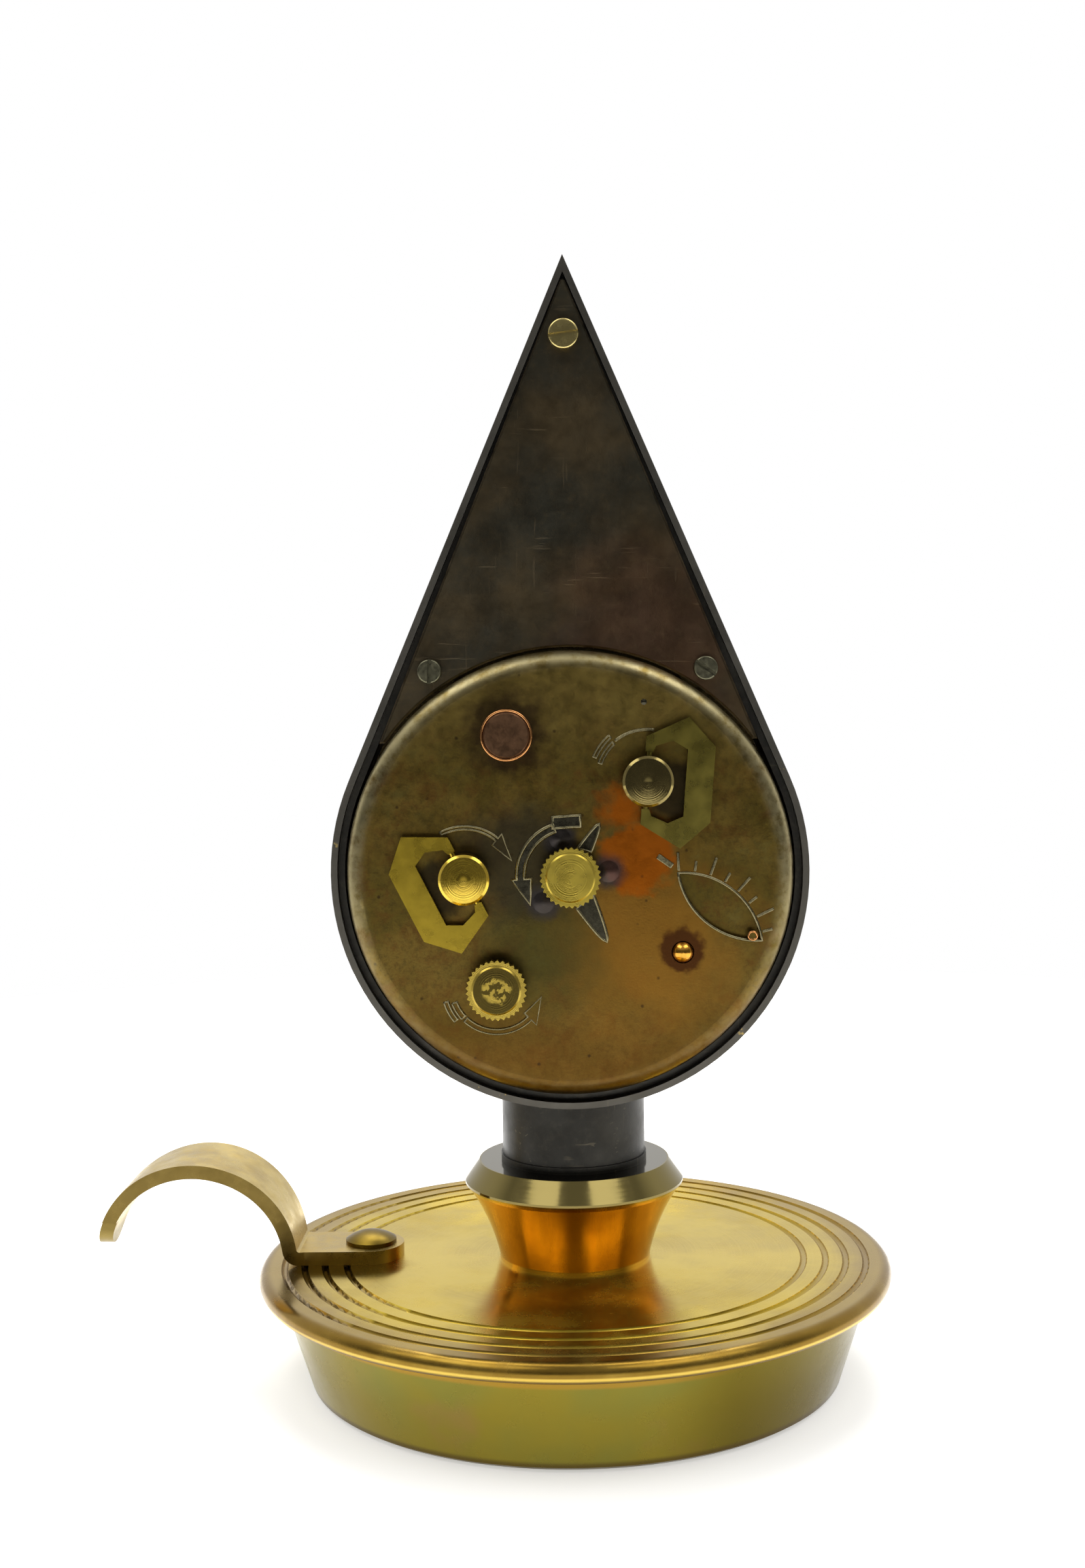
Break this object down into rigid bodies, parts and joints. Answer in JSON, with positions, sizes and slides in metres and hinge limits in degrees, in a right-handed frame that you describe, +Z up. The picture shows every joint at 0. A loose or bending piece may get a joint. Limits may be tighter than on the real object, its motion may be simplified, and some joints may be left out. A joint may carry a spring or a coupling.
{
  "type": "wind-up alarm clock",
  "caption": "Wind-up alarm clock shaped like a chamber candlestick: flame-shaped case on a candle tube, socket and round dish base with a finger handle, keys and knobs at the back.",
  "frame": {"origin": "centre of the base's felt underside, on the axis of the candle tube", "axes": "+Z up along the candle tube, +Y out of the back where the winding keys are, -Y out of the dial, +X towards the carrying handle"},
  "size_m": [0.1032, 0.082, 0.1421],
  "materials": {
    "felt": "green baize",
    "base_brass": "satin brass, aged",
    "socket_brass": "polished brass",
    "bronze_patina": "dark bronzed brass",
    "cover_brass": "aged lacquered brass",
    "key_brass": "clean brass",
    "copper": "coppered brass",
    "front_brass": "satin gilt brass",
    "dial_paint": "ivory lacquer",
    "hand_black": "black lacquer",
    "alarm_hand_brass": "gilt",
    "crystal_glass": "clear",
    "movement_brass": "brushed brass",
    "shield_brass": "aged brass",
    "steel": "brushed steel",
    "spring_steel": "blued spring steel",
    "cast_iron": "black, rough"
  },
  "bodies": {
    "clock_body": {"base_felt": "felt", "base_pan": "base_brass", "base_weight": "cast_iron", "base_top": "base_brass", "tie_rod": "steel", "tie_rod_nut": "steel", "candle_socket": "socket_brass", "candle_tube": "bronze_patina", "carrying_handle": "base_brass", "handle_rivet": "base_brass", "case_band": "bronze_patina", "case_front": "front_brass", "bezel": "front_brass", "crystal": "crystal_glass", "dial": "dial_paint", "back_plate": "bronze_patina", "back_plate_posts": "movement_brass", "top_screw": "key_brass", "lower_screws": "steel", "movement_cover": "cover_brass", "main_plate": "movement_brass", "rear_plate": "movement_brass", "movement_screws": "steel", "hairspring": "spring_steel", "balance_bearing_screw": "copper"},
    "time_winder": {"time_winding_arbor": "steel", "time_key_post": "key_brass"},
    "time_bow": {"time_key_bow": "key_brass"},
    "alarm_winder": {"alarm_winding_arbor": "steel", "alarm_key_post": "key_brass"},
    "alarm_bow": {"alarm_key_bow": "key_brass"},
    "hand_set": {"hand_set_knob": "key_brass", "centre_arbor": "steel", "cannon_pinion": "movement_brass", "minute_hand": "hand_black"},
    "minute_wheel": {"minute_wheel": "movement_brass"},
    "hour_wheel": {"hour_wheel": "movement_brass", "hour_hand": "hand_black"},
    "alarm_set": {"alarm_set_knob": "key_brass", "alarm_set_arbor": "movement_brass"},
    "alarm_wheel": {"alarm_wheel": "movement_brass", "alarm_hand": "alarm_hand_brass"},
    "fourth_wheel": {"fourth_wheel": "movement_brass"},
    "third_wheel": {"third_wheel": "movement_brass"},
    "centre_wheel": {"centre_wheel": "movement_brass"},
    "intermediate_wheel": {"intermediate_wheel": "movement_brass"},
    "time_barrel": {"time_barrel": "movement_brass", "time_mainspring": "spring_steel"},
    "escape_wheel": {"escape_wheel": "movement_brass"},
    "pallet_lever": {"pallet_lever": "steel"},
    "balance_wheel": {"balance_wheel": "movement_brass"},
    "alarm_barrel": {"alarm_barrel": "movement_brass", "alarm_mainspring": "spring_steel"},
    "alarm_escape_wheel": {"alarm_escape_wheel": "movement_brass"},
    "hammer": {"hammer": "steel"},
    "regulator": {"regulator_lever": "shield_brass"},
    "stop_button": {"stop_button": "copper", "stop_button_spring": "steel"},
    "time_click": {"time_click": "steel"},
    "alarm_click": {"alarm_click": "steel"}
  },
  "joints": [
    {"name": "time_winding", "type": "hinge", "parent": "clock_body", "child": "time_winder", "pos_m": [0.01294, 0.0144, 0.06633], "axis": [0, 1, 0], "continuous": true},
    {"name": "time_bow_fold", "type": "hinge", "parent": "time_winder", "child": "time_bow", "pos_m": [0.01294, 0.0144, 0.06633], "axis": [0.4473, 0, 0.8944], "range_deg": [0, 90]},
    {"name": "alarm_winding", "type": "hinge", "parent": "clock_body", "child": "alarm_winder", "pos_m": [-0.00956, 0.0144, 0.07802], "axis": [0, 1, 0], "continuous": true},
    {"name": "alarm_bow_fold", "type": "hinge", "parent": "alarm_winder", "child": "alarm_bow", "pos_m": [-0.00956, 0.0144, 0.07802], "axis": [0.0802, 0, -0.9968], "range_deg": [0, 90]},
    {"name": "hand_setting", "type": "hinge", "parent": "clock_body", "child": "hand_set", "pos_m": [0, 0.0158, 0.0664], "axis": [0, 1, 0], "continuous": true},
    {"name": "minute_wheel_spin", "type": "hinge", "parent": "clock_body", "child": "minute_wheel", "pos_m": [0, -0.005, 0.0736], "axis": [0, 1, 0], "continuous": true},
    {"name": "hour_hand_spin", "type": "hinge", "parent": "clock_body", "child": "hour_wheel", "pos_m": [0, -0.006, 0.0664], "axis": [0, 1, 0], "continuous": true},
    {"name": "alarm_setting", "type": "hinge", "parent": "clock_body", "child": "alarm_set", "pos_m": [0.00921, 0.0158, 0.05272], "axis": [0, 1, 0], "continuous": true},
    {"name": "alarm_hand_spin", "type": "hinge", "parent": "clock_body", "child": "alarm_wheel", "pos_m": [0, -0.0068, 0.0664], "axis": [0, 1, 0], "continuous": true},
    {"name": "fourth_wheel_spin", "type": "hinge", "parent": "clock_body", "child": "fourth_wheel", "pos_m": [-0.01238, 0.0004, 0.06526], "axis": [0, 1, 0], "continuous": true},
    {"name": "third_wheel_spin", "type": "hinge", "parent": "clock_body", "child": "third_wheel", "pos_m": [-0.00649, -0.0013, 0.06186], "axis": [0, 1, 0], "continuous": true},
    {"name": "centre_wheel_spin", "type": "hinge", "parent": "clock_body", "child": "centre_wheel", "pos_m": [0, 0.0061, 0.0664], "axis": [0, 1, 0], "continuous": true},
    {"name": "intermediate_wheel_spin", "type": "hinge", "parent": "clock_body", "child": "intermediate_wheel", "pos_m": [0.00381, -0.0024, 0.05892], "axis": [0, 1, 0], "continuous": true},
    {"name": "time_barrel_spin", "type": "hinge", "parent": "clock_body", "child": "time_barrel", "pos_m": [0.01294, 0.002, 0.06633], "axis": [0, 1, 0], "continuous": true},
    {"name": "escape_wheel_spin", "type": "hinge", "parent": "clock_body", "child": "escape_wheel", "pos_m": [-0.01817, 0.0022, 0.06315], "axis": [0, 1, 0], "continuous": true},
    {"name": "pallet_rock", "type": "hinge", "parent": "clock_body", "child": "pallet_lever", "pos_m": [-0.0204, 0.0029, 0.05994], "axis": [0, 1, 0], "range_deg": [-5, 5]},
    {"name": "balance_swing", "type": "hinge", "parent": "clock_body", "child": "balance_wheel", "pos_m": [-0.01374, 0.004, 0.0567], "axis": [0, 1, 0], "range_deg": [-150, 150]},
    {"name": "alarm_barrel_spin", "type": "hinge", "parent": "clock_body", "child": "alarm_barrel", "pos_m": [-0.00956, 0.002, 0.07802], "axis": [0, 1, 0], "continuous": true},
    {"name": "alarm_escape_spin", "type": "hinge", "parent": "clock_body", "child": "alarm_escape_wheel", "pos_m": [-0.00197, 0.0023, 0.0809], "axis": [0, 1, 0], "continuous": true},
    {"name": "hammer_swing", "type": "hinge", "parent": "clock_body", "child": "hammer", "pos_m": [0.0035, 0.0038, 0.0839], "axis": [0, 1, 0], "range_deg": [-8, 8]},
    {"name": "regulator_turn", "type": "hinge", "parent": "clock_body", "child": "regulator", "pos_m": [-0.01374, 0.0086, 0.0567], "axis": [0, 1, 0], "range_deg": [0, 74]},
    {"name": "stop_button_push", "type": "slide", "parent": "clock_body", "child": "stop_button", "axis": [0, -1, 0], "range_m": [0, 0.0012], "stiffness_N_per_m": 400, "springref_m": -0.0004},
    {"name": "time_click_lift", "type": "hinge", "parent": "clock_body", "child": "time_click", "pos_m": [0.01665, 0.00875, 0.05935], "axis": [0, 1, 0], "range_deg": [0, 8]},
    {"name": "alarm_click_lift", "type": "hinge", "parent": "clock_body", "child": "alarm_click", "pos_m": [-0.01074, 0.00875, 0.08472], "axis": [0, 1, 0], "range_deg": [0, 8]}
  ],
  "couplings": [
    {"joint": "minute_wheel_spin", "follows": "hand_setting", "ratio": -0.33333},
    {"joint": "hour_hand_spin", "follows": "hand_setting", "ratio": 0.083333},
    {"joint": "alarm_hand_spin", "follows": "alarm_setting", "ratio": -0.4375},
    {"joint": "third_wheel_spin", "follows": "fourth_wheel_spin", "ratio": -0.13333},
    {"joint": "centre_wheel_spin", "follows": "fourth_wheel_spin", "ratio": 0.016667},
    {"joint": "intermediate_wheel_spin", "follows": "fourth_wheel_spin", "ratio": -0.0027778},
    {"joint": "time_barrel_spin", "follows": "fourth_wheel_spin", "ratio": 0.00046296},
    {"joint": "escape_wheel_spin", "follows": "fourth_wheel_spin", "ratio": -10},
    {"joint": "alarm_escape_spin", "follows": "alarm_barrel_spin", "ratio": -6}
  ]
}
